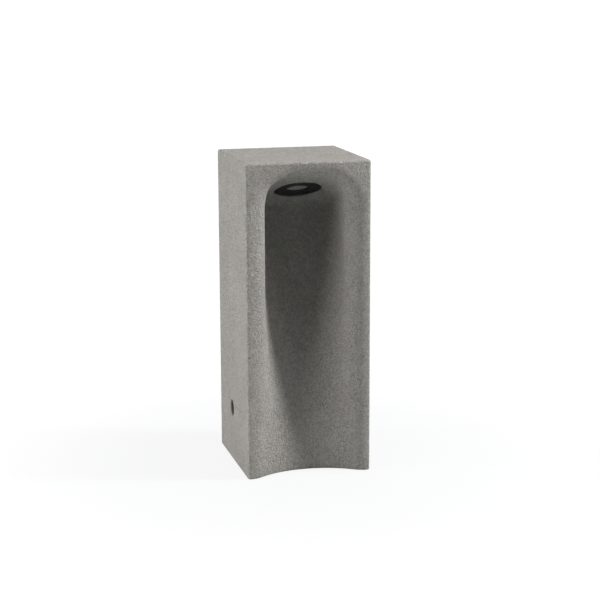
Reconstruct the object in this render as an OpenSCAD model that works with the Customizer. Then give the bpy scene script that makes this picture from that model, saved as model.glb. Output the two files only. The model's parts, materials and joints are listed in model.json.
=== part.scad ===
// Concrete bollard light with a scooped niche. Millimetres, +Z up, front towards -Y.
// The origin is on the ground, at the middle of the block's footprint.

/* [Concrete block] */
// Width of the block
body_w = 120; // [116:1:140]
// Depth of the block, front to back
body_d = 125; // [122:1:150]
// Height of the block
body_h = 300; // [290:5:400]
// Radius of the block's upper and upright edges
edge_r = 2.5; // [1.5:0.5:3]
// Radius of the arris around the underside
foot_r = 1.4; // [1:0.2:2]

/* [Niche] */
// Depth of the niche at the ground line
niche_foot_d = 18; // [14:1:20]
// Lean of the niche's back wall at the ground, as a slope
back_slope = 0.06; // [0.04:0.01:0.08]
// Depth of the niche's back wall where it meets the ceiling
niche_top_d = 70; // [69:0.5:72]
// Radius of the rounded lip around the niche
lip_r = 19.4; // [17:0.2:20]
// Radius of the niche's upper inside corners
arch_r = 28; // [22:1:30]
// Flat strip between the lip and each upright edge of the block
lip_margin = 2.6; // [2.6:0.1:5]

/* [Lamp] */
// Distance from the front face back to the middle of the lamp's face
lamp_back = 42.5; // [42:0.5:44]
// Distance from the top of the block down to the middle of the lamp's face
lamp_drop = 31; // [30:0.5:34]
// Tilt of the lamp's face from level, in degrees
lamp_tilt = 23; // [21:1:24]
// Diameter of the bezel ring
bezel_dia = 45.5; // [44.5:0.5:47]
// Diameter of the opening in the bezel ring
opening_dia = 20; // [18:0.2:22]

/* [Fixing] */
// Height of the set screws above the ground
screw_z = 52; // [40:1:60]
// Distance of the set screws behind the middle of the block
screw_y = 8; // [4:1:10]
// Diameter of the access holes for the set screws
access_dia = 16; // [13:1:16]
// Spacing of the anchor holes across the base plate
anchor_x = 44; // [36:1:46]
// Spacing of the anchor holes from front to back
anchor_y = 40; // [36:1:42]
// Diameter of the anchor holes
anchor_dia = 6.5; // [5:0.5:7]

/* [Hidden] */
$fn = 64;

// Gap between parts that are screwed or pushed into each other
gap = 0.05;

// Niche: where the lip's roll starts on the front face, and the circle of its upper corners
rim_x = body_w / 2 - lip_margin;
corner_r = lip_r + arch_r;
lamp_z = body_h - lamp_drop;
ceiling_front_z = lamp_z + lamp_back * tan(lamp_tilt);
rim_z = ceiling_front_z + lip_r * tan((90 - lamp_tilt) / 2);
corner_x = rim_x - corner_r;
corner_z = rim_z - corner_r;
roll_end_z = rim_z - lip_r * cos(lamp_tilt);
// Height at which the sloping ceiling reaches the back wall, and how far the wall sweeps back to get there
ceiling_back_z = lamp_z - (niche_top_d - lamp_back) * tan(lamp_tilt);
back_sweep =
    (niche_top_d - niche_foot_d - back_slope * ceiling_back_z) / smooth_step(ceiling_back_z / body_h);
// How softly the ceiling runs into the back wall
ceiling_blend = 22;
// Half width of the flat strip up the middle of the back wall, at the ground
spine_x = 1.5;
// Height over which that strip widens to the ceiling's own flat
spine_rise = 60;
// Slices of the block: points along each roll of a slice, and the slices' spacing low down and in the arch
roll_steps = 6;
hollow_steps = 7;
low_step = 14;
arch_step = 3.6;
low_top_z = corner_z - 10;

// Pocket under the block, and the lamp's sleeve
pocket_w = 68;
pocket_d = 60;
pocket_h = 84;
pocket_r = 6;
sleeve_r = 21.5;
sleeve_wall = 1.2;
sleeve_len = 17;
// Flat seat for the bezel ring: how far it is sunk into the ceiling, room around the ring,
// and height of the space kept clear in front of it
sink = 1.2;
seat_room = 0.3;
seat_h = 6;

// Cable way from the sleeve down to the pocket
riser_y = 28;
duct_t = 13.9;
duct_r = 6;
duct_wall = 1.4;
cable_r = 2.5;

// Set screws and their bushes
screw_r = 3.9;
screw_len = 18;
insert_r = 6;
insert_len = 13.5;
hex_key = 4;

// Bent steel bracket
sheet = 3;
bend_r = 3;
arm_x = 32;
arm_w = 32;
arm_h = 76;
plate_d = 56;
tab_w = 28;
tab_h = 66;
tab_y = 15.1;
entry_y = -12;
entry_r = 6.5;

// Lamp, measured along its axis from the ceiling into the concrete
flange_t = 1.6;
flange_dish = 0.8;
skirt_r = 18.6;
skirt_len = 4;
lens_r = 14.6;
lens_t = 2;
lens_at = 0.8;
seal_t = 0.4;
collar_r = 14.9;
cup_r = 13;
cup_floor = 9.2;
housing_end = 12.2;
board_t = 1;
pad_t = 0.3;
board_r = 12.6;
chip_r = 4.5;
chip_t = 0.7;
// Front face of the LED's board, and its screws and cable hole
led_z = cup_floor - pad_t - board_t;
board_screw_at = 9.6;
board_screw_r = 1;
board_hole_r = 1.5;
spring_w = 5;
spring_t = 0.5;
lead_r = 1.2;

// Driver
driver_w = 44;
driver_d = 18;
driver_h = 54;
driver_y = -3;
driver_z = 12;
driver_wall = 1.6;
board_y = driver_y + driver_d - 7;

// Plug and socket on the lamp's cable
plug_y = riser_y;
plug_z = 50;
plug_r = 5.4;
plug_len = 20;
socket_r = 6;
socket_len = 18;
ring_r = 8;
ring_len = 11;
pin_spread = 2;
pin_r = 0.7;
clip_z = plug_z - 15.6;
clip_h = 3.4;
clip_r = socket_r - 1.2;
clip_screw_x = clip_r + 3.8;
clip_screw_r = 1.5;
clip_head_r = 2.5;

// Mains connector
inlet_z = 16;
inlet_r = 6.4;
inlet_len = 18;
nut_r = 7.4;
nut_len = 9;
mains_r = 3.2;
mains_room = 0.2;
inlet_nose_r = 4;
inlet_lead_r = 2.2;

// Earth connection on the left arm
earth_y = 18;
earth_z = 26;
earth_in_x = -12;
lug_t = 0.9;
lug_len = 9;
earth_r = 1.1;

// Height at which the leads cross under the driver, and the place of the output lead
low_z = driver_z - 4;
output_x = tab_w / 2 + 4;

// Screws of the bracket
m4_r = 2;
m4_head_r = 3.6;
m4_head_t = 2.4;
driver_screw_x = 11;
driver_screw_z = 52;

function smooth_step(t) = let (u = max(0, min(1, t))) u * u * (3 - 2 * u);

// The smaller of two depths, with the corner between them rounded
function soft_min(a, b, k) = let (h = max(0, k - abs(a - b)) / k) min(a, b) - h * h * k / 4;

// Depth of the back wall, and of the ceiling with its lip, on the middle plane at a height
function wall_depth(z) = niche_foot_d + back_slope * z + back_sweep * smooth_step(z / body_h);
function ceiling_depth(z) =
    z > roll_end_z
        ? lip_r - sqrt(lip_r * lip_r - pow(rim_z - z, 2))
        : lamp_back + (lamp_z - z) / tan(lamp_tilt);
function niche_depth(z) = soft_min(wall_depth(z), ceiling_depth(z), ceiling_blend);

// Half width of the niche at its rim, and of the flat in its middle
function rim_half(z) = z < corner_z ? rim_x : corner_x + sqrt(corner_r * corner_r - pow(z - corner_z, 2));
function flat_half(z) =
    spine_x + (corner_x - spine_x) * smooth_step((z - corner_z + spine_rise) / spine_rise);

// Right half of a level slice through the niche, from the rim to the flat, as [x, depth].
// The lip rolls outwards through an angle, and the hollow turns back through the same angle.
function niche_half(z) =
    let (
        span = rim_half(z) - flat_half(z),
        depth = niche_depth(z),
        turn = depth >= span ? 90 : 2 * atan(depth / span),
        radii = span / sin(turn),
        roll = z < corner_z ? lip_r : radii * lip_r / corner_r,
        hollow = radii - roll
    )
    concat(
        [for (i = [0:roll_steps])
            let (a = turn * i / roll_steps)
            [rim_half(z) - roll * sin(a), roll * (1 - cos(a))]],
        [for (i = [1:hollow_steps])
            let (a = turn * (1 - i / hollow_steps))
            [flat_half(z) + hollow * sin(a), depth - hollow * (1 - cos(a))]]
    );

// Points of one of the block's upright edges, on a level slice
function corner_arc(side, end, from, r, z) = [for (a = [0:30:90])
    [side * (body_w / 2 - edge_r) + r * cos(from + a), end * (body_d / 2 - edge_r) + r * sin(from + a), z]];

// Level slice through the whole block at a height, with its outline drawn in by inset.
// It starts at the back, from where every other point of the lowest and the highest slice can be seen.
function body_slice(z, inset) =
    let (
        half = niche_half(min(z, body_h - edge_r)),
        last = len(half) - 1,
        front = -body_d / 2 + inset,
        r = edge_r - inset
    )
    concat(
        corner_arc(-1, 1, 90, r, z),
        corner_arc(-1, -1, 180, r, z),
        [for (i = [0:last]) [-half[i][0], front + half[i][1], z]],
        [for (i = [last:-1:0]) [half[i][0], front + half[i][1], z]],
        corner_arc(1, -1, -90, r, z),
        corner_arc(1, 1, 0, r, z)
    );

// Slices as [height, inset]: the arris of the foot, the even ones, the arch and the rounded top edge
round_end = 80;
round_steps = [0, 30, 58, 80];
slices = concat(
    [for (a = [80, 45, 0]) [foot_r * (1 - sin(a) / sin(round_end)), foot_r * (1 - cos(a))]],
    [for (z = [low_step:low_step:low_top_z]) [z, 0]],
    [for (z = [low_top_z + arch_step:arch_step:body_h - edge_r - arch_step / 2]) [z, 0]],
    [for (a = round_steps)
        [body_h - edge_r * (1 - sin(a) / sin(round_end)), edge_r * (1 - cos(a))]]
);

// Solid through a list of closed slices that all have the same number of points
module loft(rings) {
    n = len(rings[0]);
    top = len(rings) - 1;
    points = [for (ring = rings, p = ring) p];
    sides = [for (j = [0:top - 1], i = [0:n - 1])
        let (a = j * n + i, b = j * n + (i + 1) % n)
        each [[a, a + n, b + n], [a, b + n, b]]];
    caps = [[for (i = [0:n - 1]) i], [for (i = [n - 1:-1:0]) top * n + i]];
    polyhedron(points, concat(sides, caps), convexity = 8);
}

// Children in the lamp's frame: origin in the middle of its seat, +Z along its axis into the concrete
module at_lamp() {
    translate([0, lamp_back - body_d / 2, lamp_z]) rotate([-lamp_tilt, 0, 0])
        translate([0, 0, sink]) children();
}

// Ring or disc about Z from one height to another
module tube(outer, inner, from, to) {
    translate([0, 0, from]) difference() {
        cylinder(r = outer, h = to - from);
        if (inner > 0) translate([0, 0, -1]) cylinder(r = inner, h = to - from + 2);
    }
}

// Cylinder along X between two places, at the height and depth of the set screws
module screw_line(r, from, to, sides = 48) {
    translate([from, screw_y, screw_z]) rotate([0, 90, 0]) cylinder(r = r, h = to - from, $fn = sides);
}

// Moves children to a place, with their X and Y axes along two square unit vectors
module in_frame(place, x, y) {
    z = cross(x, y);
    multmatrix([
        [x[0], y[0], z[0], place[0]],
        [x[1], y[1], z[1], place[1]],
        [x[2], y[2], z[2], place[2]]
    ]) children();
}

function unit(v) = v / norm(v);

// Round bar through a list of points, with an arc of a given radius at each bend
module bar_path(points, r, bend = 6) {
    last = len(points) - 1;
    way = [for (i = [0:last - 1]) unit(points[i + 1] - points[i])];
    angle = [for (i = [1:1:last - 1]) acos(way[i - 1] * way[i])];
    cut = concat([0], [for (a = angle) bend * tan(a / 2)], [0]);
    for (i = [0:last - 1]) {
        start = points[i] + way[i] * cut[i];
        side = abs(way[i][0]) > 0.9 ? [0, 1, 0] : [1, 0, 0];
        across = unit(cross(way[i], side));
        in_frame(start, cross(across, way[i]), across)
            cylinder(r = r, h = norm(points[i + 1] - points[i]) - cut[i] - cut[i + 1]);
    }
    for (i = [1:1:last - 1]) {
        inward = unit(way[i] - way[i - 1]);
        centre = points[i] + inward * bend / cos(angle[i - 1] / 2);
        start = points[i] - way[i - 1] * cut[i];
        in_frame(centre, unit(start - centre), way[i - 1])
            rotate_extrude(angle = angle[i - 1]) translate([bend, 0]) circle(r = r, $fn = 32);
    }
}

// The way of the cable through the concrete: an upright stretch, and a slightly thinner one sloping into it
module cable_way(start, end_z, r) {
    translate([0, riser_y, end_z]) cylinder(r = r, h = duct_bend[2] + r - end_z);
    at_lamp() translate([0, start, duct_t]) rotate([-90, 0, 0])
        cylinder(r = 0.9 * r, h = duct_bend_at - start);
}

// A point given in the lamp's frame, in the block's frame
function from_lamp(y, t) = [
    0,
    lamp_back - body_d / 2 + y * cos(lamp_tilt) + (t + sink) * sin(lamp_tilt),
    lamp_z - y * sin(lamp_tilt) + (t + sink) * cos(lamp_tilt)
];

duct_bend_at = (riser_y - from_lamp(0, duct_t)[1]) / cos(lamp_tilt);
duct_bend = from_lamp(duct_bend_at, duct_t);

module pocket_outline() {
    for (s = [[0, pocket_r], [pocket_r, 0]])
        square([pocket_w - 2 * s[0], pocket_d - 2 * s[1]], center = true);
    for (x = [-1, 1], y = [-1, 1])
        translate([x * (pocket_w / 2 - pocket_r), y * (pocket_d / 2 - pocket_r)]) circle(r = pocket_r);
}

module concrete_body() {
    insert_from = pocket_w / 2 + 0.5;
    color("dimgray") difference() {
        loft([for (s = slices) body_slice(s[0], s[1])]);
        translate([0, screw_y, -1]) linear_extrude(pocket_h + 1) pocket_outline();
        at_lamp() cylinder(r = sleeve_r, h = sleeve_len, $fn = 96);
        at_lamp() translate([0, 0, -seat_h]) cylinder(r = bezel_dia / 2 + seat_room, h = seat_h, $fn = 96);
        cable_way(sleeve_r - 2, pocket_h - 1, duct_r);
        for (side = [0, 1]) mirror([side, 0, 0]) {
            screw_line(insert_r, pocket_w / 2 - 1, insert_from + insert_len);
            screw_line(access_dia / 2, insert_from + insert_len, body_w / 2 + 1);
        }
    }
}

// Plastic cup cast into the concrete: the seat of the lamp
module lamp_sleeve() {
    color("#2b2c2e") difference() {
        at_lamp() tube(sleeve_r, 0, 0, sleeve_len);
        at_lamp() translate([0, 0, -1])
            cylinder(r = sleeve_r - sleeve_wall, h = sleeve_len - sleeve_wall + 1);
        cable_way(0, pocket_h, duct_r - duct_wall);
    }
}

// Plastic tube cast into the concrete, from the sleeve down to the pocket
module cable_conduit() {
    color("#9a9d9f") difference() {
        cable_way(sleeve_r - 2, pocket_h, duct_r);
        cable_way(0, pocket_h - 1, duct_r - duct_wall);
        at_lamp() cylinder(r = sleeve_r, h = duct_t + 2 * duct_r, $fn = 96);
    }
}

// Threaded brass bushes with two knurled bands, cast into the side walls
module side_inserts() {
    from = pocket_w / 2 + 0.5;
    groove = 2.5;
    color("#b9975b") for (side = [0, 1]) mirror([side, 0, 0]) difference() {
        screw_line(insert_r, from, from + insert_len);
        screw_line(screw_r + gap, from - 1, from + insert_len + 1);
        difference() {
            screw_line(insert_r + 1, from + (insert_len - groove) / 2, from + (insert_len + groove) / 2);
            screw_line(insert_r - 1, from, from + insert_len);
        }
    }
}

// Set screw with a hexagon socket and a bevelled point, on the +X side
module grub_screw() {
    from = arm_x + gap;
    point = 1.2;
    socket_depth = 4.5;
    difference() {
        union() {
            screw_line(screw_r, from + point, from + screw_len);
            translate([from, screw_y, screw_z]) rotate([0, 90, 0])
                rotate_extrude($fn = 48) polygon([[0, 0], [screw_r - point, 0], [screw_r, point], [0, point]]);
        }
        screw_line(hex_key / 2 / cos(30), from + screw_len - socket_depth, from + screw_len + 1, 6);
    }
}

module left_grub_screw() {
    color("silver") mirror([1, 0, 0]) grub_screw();
}

module right_grub_screw() {
    color("silver") grub_screw();
}

// Black ring that shows: a shallow dished flange with a bevelled opening,
// and a skirt that screws to the housing
module bezel_ring() {
    bevel = 0.5;
    outer_round = 0.6;
    rim = 2;
    opening_r = opening_dia / 2;
    color("#151515") at_lamp() rotate_extrude($fn = 96) polygon([
        [opening_r, 0],
        [opening_r, flange_dish + bevel - flange_t],
        [opening_r + bevel, flange_dish - flange_t],
        [bezel_dia / 2 - rim, -flange_t],
        [bezel_dia / 2 - outer_round, -flange_t],
        [bezel_dia / 2, outer_round - flange_t],
        [bezel_dia / 2, -gap],
        [skirt_r, -gap],
        [skirt_r, skirt_len],
        [collar_r + gap, skirt_len],
        [collar_r + gap, 0]
    ]);
}

// Frosted glass disc with a ground edge
module lens() {
    ground = 0.3;
    color("#d8dcd8") at_lamp() rotate_extrude($fn = 96) polygon([
        [0, lens_at],
        [lens_r - ground, lens_at],
        [lens_r, lens_at + ground],
        [lens_r, lens_at + lens_t - ground],
        [lens_r - ground, lens_at + lens_t],
        [0, lens_at + lens_t]
    ]);
}

module lens_gasket() {
    setback = 0.8;
    color("#202020") at_lamp() tube(lens_r, opening_dia / 2 + setback, 0, lens_at);
}

module lens_seal() {
    color("#202020") at_lamp() tube(lens_r, cup_r, lens_at + lens_t, lens_at + lens_t + seal_t);
}

// Polished cone that stands on the board around the chip
module reflector() {
    wall = 0.6;
    foot = 1;
    mouth_z = lens_at + lens_t + 0.5;
    mouth_r = cup_r - 0.2;
    throat_z = led_z - chip_t;
    throat_r = chip_r + 0.3;
    color("#e6e6e6") at_lamp() rotate_extrude($fn = 96) polygon([
        [mouth_r - wall, mouth_z],
        [mouth_r, mouth_z],
        [throat_r + wall, throat_z],
        [throat_r + wall + foot, throat_z],
        [throat_r + wall + foot, led_z],
        [throat_r, led_z],
        [throat_r, throat_z]
    ]);
}

module led_chip() {
    color("#e8c547") at_lamp() tube(chip_r, 0, led_z - chip_t, led_z);
}

// Two cylinders along the lamp's axis at the places of the board's screws
module board_screw_holes(r, h) {
    for (x = [-1, 1]) translate([x * board_screw_at, 0, 0]) cylinder(r = r, h = h, $fn = 24);
}

// Round metal-core board with two screw holes and a cable hole
module led_board() {
    color("#f2f2ee") at_lamp() difference() {
        tube(board_r, 0, led_z, led_z + board_t);
        board_screw_holes(board_screw_r + gap, cup_floor);
        translate([0, board_screw_at, 0]) cylinder(r = board_hole_r, h = cup_floor, $fn = 24);
    }
}

module thermal_pad() {
    color("#8fa3b5") at_lamp() difference() {
        tube(board_r, 0, cup_floor - pad_t, cup_floor);
        board_screw_holes(board_screw_r + 0.4, cup_floor + 1);
        translate([0, board_screw_at, 0]) cylinder(r = board_hole_r, h = cup_floor + 1, $fn = 24);
    }
}

// Two cross-headed screws through the board into the housing
module board_screws() {
    head_r = 1.8;
    head_t = 1.1;
    slot = 2.2;
    slot_w = 0.4;
    color("silver") at_lamp() for (x = [-1, 1]) translate([x * board_screw_at, 0, 0]) difference() {
        union() {
            tube(head_r, 0, led_z - head_t, led_z);
            tube(board_screw_r, 0, led_z - 0.1, housing_end - 0.8);
        }
        for (a = [0, 90]) rotate([0, 0, a])
            translate([-slot / 2, -slot_w / 2, led_z - head_t - 0.1]) cube([slot, slot_w, 0.6]);
    }
}

// Aluminium cup with cooling ribs around it; a collar in front screws into the bezel ring
module lamp_housing() {
    rib_gap = 1;
    rib_depth = 1.6;
    rib_at = [6.2, 8.4, 10.6];
    color("#3a3b3d") at_lamp() difference() {
        union() {
            tube(collar_r, 0, lens_at + lens_t + seal_t, skirt_len + gap);
            tube(skirt_r, 0, skirt_len + gap, housing_end);
        }
        tube(cup_r, 0, 0, cup_floor);
        for (z = rib_at) tube(skirt_r + 1, skirt_r - rib_depth, z, z + rib_gap);
        board_screw_holes(board_screw_r + gap, housing_end - 0.6);
        translate([0, board_screw_at, 0]) cylinder(r = board_hole_r, h = housing_end + 1, $fn = 24);
        for (a = [90, 210, 330]) rotate([0, 0, a])
            translate([skirt_r - 0.6, -spring_w / 2 - 0.1, skirt_len + 0.6])
                cube([2, spring_w + 0.2, housing_end]);
    }
}

// Three leaf springs bowed out from the housing to press on the sleeve
module retaining_springs() {
    low = skirt_len + 0.8;
    high = housing_end - 0.2;
    base = skirt_r - 0.5;
    reach = sleeve_r - sleeve_wall - 0.1 - spring_t;
    bow = reach - base;
    steps = 8;
    inner = [for (i = [0:steps]) [base + bow * sin(180 * i / steps), low + (high - low) * i / steps]];
    outer = [for (i = [steps:-1:0]) inner[i] + [spring_t, 0]];
    color("silver") at_lamp() for (a = [90, 210, 330]) rotate([0, 0, a])
        rotate([90, 0, 0]) linear_extrude(spring_w, center = true) polygon(concat(inner, outer));
}

// Rubber boot on the housing's cable hole; the lead leaves it sideways
module lead_boot() {
    height = 3.4;
    color("#1c1c1c") at_lamp() translate([0, board_screw_at, 0]) difference() {
        union() {
            tube(2.2, 0, housing_end, housing_end + height);
            tube(board_hole_r - gap, 0, cup_floor + 0.2, housing_end + 0.5);
        }
        translate([0, 0, duct_t]) rotate([0, -90, 0]) cylinder(r = lead_r + gap, h = 3, $fn = 32);
    }
}

// Slack turn of lead behind the housing, from the boot round to the mouth of the conduit
module lamp_lead() {
    left = -11;
    low = -9;
    high = 14;
    color("#1c1c1c") at_lamp() bar_path([
        [-0.1, board_screw_at, duct_t],
        [left, board_screw_at, duct_t],
        [left, low, duct_t],
        [-left, low, duct_t],
        [-left, high, duct_t],
        [0, high, duct_t],
        [0, high + 4.6, duct_t]
    ], lead_r, 4);
}

// Cable down the conduit, from the sleeve to the plug
module riser_cable() {
    color("#161616") cable_way(sleeve_r - sleeve_wall - 1, plug_z + plug_len - 1, cable_r);
}

// Plug half on the end of the riser cable
module lamp_plug() {
    nose_len = 8;
    nose_r = 3.6;
    color("#1d1d1f") translate([0, plug_y, plug_z]) difference() {
        union() {
            tube(nose_r, 0, -nose_len + 0.2, 0);
            tube(plug_r, 0, 0, plug_len - 6);
            translate([0, 0, plug_len - 6]) cylinder(r1 = plug_r, r2 = cable_r + 0.8, h = 6);
            tube(plug_r + 1, 0, 1.5, 3);
        }
        tube(cable_r, 0, plug_len - 1, plug_len + 1);
        for (x = [-1, 1]) translate([x * pin_spread, 0, -nose_len])
            cylinder(r = pin_r + 0.1, h = nose_len, $fn = 24);
    }
}

// Two contact pins fixed in the socket, standing in the plug's nose
module plug_pins() {
    color("#c9a24a") for (x = [-1, 1])
        translate([x * pin_spread, plug_y, plug_z - 10]) cylinder(r = pin_r, h = 9, $fn = 24);
}

// Lock ring of the plug, with grip ribs; it turns about the plug
module plug_ring() {
    grips = 16;
    color("#2c2c2f") translate([0, plug_y, plug_z]) difference() {
        union() {
            tube(ring_r - 0.6, 0, 3.1 - ring_len, 4.4);
            for (i = [0:grips - 1]) rotate([0, 0, i * 360 / grips])
                translate([ring_r - 1, -0.5, 3.6 - ring_len]) cube([1, 1, ring_len - 0.4]);
        }
        tube(socket_r + 2 * gap, 0, -ring_len, 0.05);
        tube(plug_r + 1 + 2 * gap, 0, -0.1, 3.1);
        tube(plug_r + 2 * gap, 0, 3, 5);
    }
}

// Socket half, open at the top for the plug's nose
module lamp_socket() {
    nose_r = 3.7;
    depth = 8;
    color("#1d1d1f") translate([0, plug_y, plug_z]) difference() {
        union() {
            tube(socket_r, 0, -depth - 4, -0.1);
            tube(socket_r - 1.2, 0, -socket_len, -depth - 3);
        }
        tube(nose_r, 0, -depth, 1);
        for (x = [-1, 1]) translate([x * pin_spread, 0, -10]) cylinder(r = pin_r, h = 4, $fn = 24);
        tube(inlet_lead_r, 0, -socket_len - 1, -socket_len + 3);
    }
}

// Steel saddle that holds the socket against the driver's tab
module socket_clip() {
    strap = 1;
    wing = 5;
    back_y = tab_y + sheet + gap;
    color("silver") difference() {
        union() {
            translate([0, plug_y, clip_z]) tube(clip_r + strap + gap, 0, 0, clip_h);
            translate([-clip_r - strap, back_y, clip_z])
                cube([2 * (clip_r + strap), plug_y - back_y, clip_h]);
            translate([-clip_r - strap - wing, back_y, clip_z - 1])
                cube([2 * (clip_r + strap + wing), strap, clip_h + 2]);
        }
        translate([0, plug_y, clip_z]) tube(clip_r + gap, 0, -1, clip_h + 1);
        translate([-clip_r - gap, back_y + strap, clip_z - 1])
            cube([2 * (clip_r + gap), plug_y - back_y - strap, clip_h + 2]);
        clip_screw_line(clip_screw_r + gap, back_y - 1, back_y + strap + 1);
    }
}

// Two cylinders along Y at the places of the clip's screws
module clip_screw_line(r, from, to) {
    for (x = [-1, 1]) translate([x * clip_screw_x, from, clip_z + clip_h / 2])
        rotate([-90, 0, 0]) cylinder(r = r, h = to - from, $fn = 32);
}

module clip_screws() {
    strap_y = tab_y + sheet + gap + 1;
    color("silver") {
        clip_screw_line(clip_screw_r, tab_y + 0.4, strap_y + 0.1);
        clip_screw_line(clip_head_r, strap_y, strap_y + 1.8);
    }
}

// Lead from the driver's foot, round the tab, up into the socket
module output_lead() {
    mid_y = driver_y + driver_d / 2;
    color("#161616") bar_path([
        [output_x, mid_y, driver_z + 3],
        [output_x, mid_y, low_z],
        [output_x, plug_y, low_z],
        [0, plug_y, low_z],
        [0, plug_y, plug_z - socket_len + 2.9]
    ], inlet_lead_r - gap, 3.6);
}

// Outline of the bracket across the block: a floor and two arms joined by bends
module bracket_profile() {
    outer = bend_r + sheet;
    difference() {
        union() {
            translate([-arm_x, outer]) square([2 * arm_x, arm_h - outer]);
            translate([outer - arm_x, 0]) square([2 * (arm_x - outer), outer + 1]);
            for (x = [-1, 1]) translate([x * (arm_x - outer), outer]) circle(r = outer);
        }
        translate([sheet - arm_x, outer]) square([2 * (arm_x - sheet), arm_h]);
        translate([outer - arm_x, sheet]) square([2 * (arm_x - outer), outer]);
        for (x = [-1, 1]) translate([x * (arm_x - outer), outer]) circle(r = bend_r);
    }
}

// Base plate with two side arms and a tab for the driver
module base_bracket() {
    middle = screw_y;
    color("#a9adb0") difference() {
        union() {
            difference() {
                translate([0, middle + plate_d / 2, 0]) rotate([90, 0, 0])
                    linear_extrude(plate_d) bracket_profile();
                for (y = [-1, 1])
                    translate([-arm_x - 1, middle + y * (arm_w / 2 + plate_d / 2) - plate_d / 2, 8])
                        cube([2 * arm_x + 2, plate_d, arm_h]);
            }
            translate([-tab_w / 2, tab_y, sheet - 1]) cube([tab_w, sheet, tab_h]);
        }
        for (x = [-1, 1], y = [-1, 1])
            translate([x * anchor_x / 2, middle + y * anchor_y / 2, -1])
                cylinder(r = anchor_dia / 2, h = sheet + 2);
        translate([0, entry_y, -1]) cylinder(r = entry_r, h = sheet + 2);
        driver_screw_line(m4_r + gap, tab_y - 1, tab_y + sheet + 1);
        clip_screw_line(clip_screw_r + gap, tab_y - 1, tab_y + sheet + 1);
        at_earth() translate([0, 0, -sheet - 1]) cylinder(r = m4_r + gap, h = sheet + 2, $fn = 32);
    }
}

// Two cylinders along Y at the places of the driver's screws
module driver_screw_line(r, from, to) {
    for (x = [-1, 1]) translate([x * driver_screw_x, from, driver_screw_z])
        rotate([-90, 0, 0]) cylinder(r = r, h = to - from, $fn = 32);
}

module driver_screws() {
    color("silver") {
        driver_screw_line(m4_r, driver_y + driver_d - 3.2, tab_y + sheet + 0.1);
        driver_screw_line(m4_head_r, tab_y + sheet, tab_y + sheet + m4_head_t);
    }
}

// Grooved rubber bush in the cable entry
module cable_grommet() {
    lip = 2;
    lip_w = 1.2;
    color("#1a1a1a") translate([0, entry_y, 0]) difference() {
        union() {
            tube(entry_r - gap, 0, 0.2, sheet + 0.5);
            tube(entry_r + lip_w, 0, sheet, sheet + lip);
        }
        tube(mains_r + mains_room, 0, -1, sheet + lip + 1);
    }
}

// Ribbed nut about Z
module ribbed_nut(r, bore, from, to, ribs) {
    difference() {
        union() {
            tube(r - 0.7, 0, from, to);
            for (i = [0:ribs - 1]) rotate([0, 0, i * 360 / ribs])
                translate([r - 1.2, -0.6, from + 0.6]) cube([1.2, 1.2, to - from - 1.2]);
        }
        tube(bore, 0, from - 1, to + 1);
    }
}

module inlet_gland_nut() {
    color("#2c2c2f") translate([0, entry_y, inlet_z]) difference() {
        ribbed_nut(nut_r, mains_r + mains_room, -nut_len, 0, 12);
        tube(inlet_r - 1 + 2 * gap, 0, -nut_len + 3, 1);
    }
}

// Rubber cone that grips the mains cable inside the gland nut
module inlet_seal() {
    color("#4a4a4a") translate([0, entry_y, inlet_z])
        tube(inlet_r - 1.2, mains_r, -nut_len + 3.1, -nut_len + 6);
}

// Lower half of the mains connector
module inlet_connector() {
    color("#1d1d1f") translate([0, entry_y, inlet_z]) difference() {
        union() {
            tube(inlet_r - 1, 0, -nut_len + 6.1, 1);
            tube(inlet_r, 0, 0.1, inlet_len);
        }
        tube(mains_r, 0, -nut_len, 6);
        tube(inlet_nose_r, 0, inlet_len - 8, inlet_len + 1);
    }
}

module inlet_coupling_nut() {
    top = inlet_len + 5;
    color("#2c2c2f") translate([0, entry_y, inlet_z]) difference() {
        ribbed_nut(nut_r + 0.6, inlet_r - 1.4, inlet_len - 5, top, 16);
        tube(inlet_r + gap, 0, inlet_len - 6, inlet_len + 2.1);
    }
}

// Upper half of the mains connector, with its nose in the lower half
module inlet_plug() {
    nose_len = 7.5;
    color("#1d1d1f") translate([0, entry_y, inlet_z + inlet_len]) difference() {
        union() {
            tube(inlet_nose_r - gap, 0, -nose_len, 0.1);
            tube(inlet_r - gap, 0, 0.05, 2);
            tube(inlet_r - 1.5 - gap, 0, 2, 16);
        }
        tube(inlet_lead_r, 0, 10, 17);
    }
}

// Lead from the mains connector over the top of the driver
module inlet_lead() {
    top_z = driver_z + driver_h + 8;
    mid_y = driver_y + driver_d / 2;
    color("#161616") bar_path([
        [0, entry_y, inlet_z + inlet_len + 10.2],
        [0, entry_y, top_z],
        [0, mid_y, top_z],
        [0, mid_y, driver_z + driver_h - 2.9]
    ], inlet_lead_r - gap);
}

// Holes for the three leads in the ends of the driver
module driver_entries(room) {
    mid_y = driver_y + driver_d / 2;
    deep = 4 + room;
    translate([output_x, mid_y, driver_z - 1]) cylinder(r = inlet_lead_r + room, h = deep);
    translate([earth_in_x, mid_y, driver_z - 1]) cylinder(r = earth_r + gap + room, h = deep);
    translate([0, mid_y, driver_z + driver_h + 1 - deep]) cylinder(r = inlet_lead_r + room, h = deep);
}

// Moulded case of the driver, open at the front
module driver_case() {
    color("#26282b") difference() {
        translate([-driver_w / 2, driver_y + driver_wall + 0.1, driver_z])
            cube([driver_w, driver_d - driver_wall - 0.1, driver_h]);
        translate([-driver_w / 2 + driver_wall, driver_y - 1, driver_z + driver_wall])
            cube([driver_w - 2 * driver_wall, driver_d - 4 + 1, driver_h - 2 * driver_wall]);
        driver_screw_line(m4_r + gap, driver_y + driver_d - 3.4, driver_y + driver_d + 1);
        driver_entries(0);
    }
}

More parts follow.
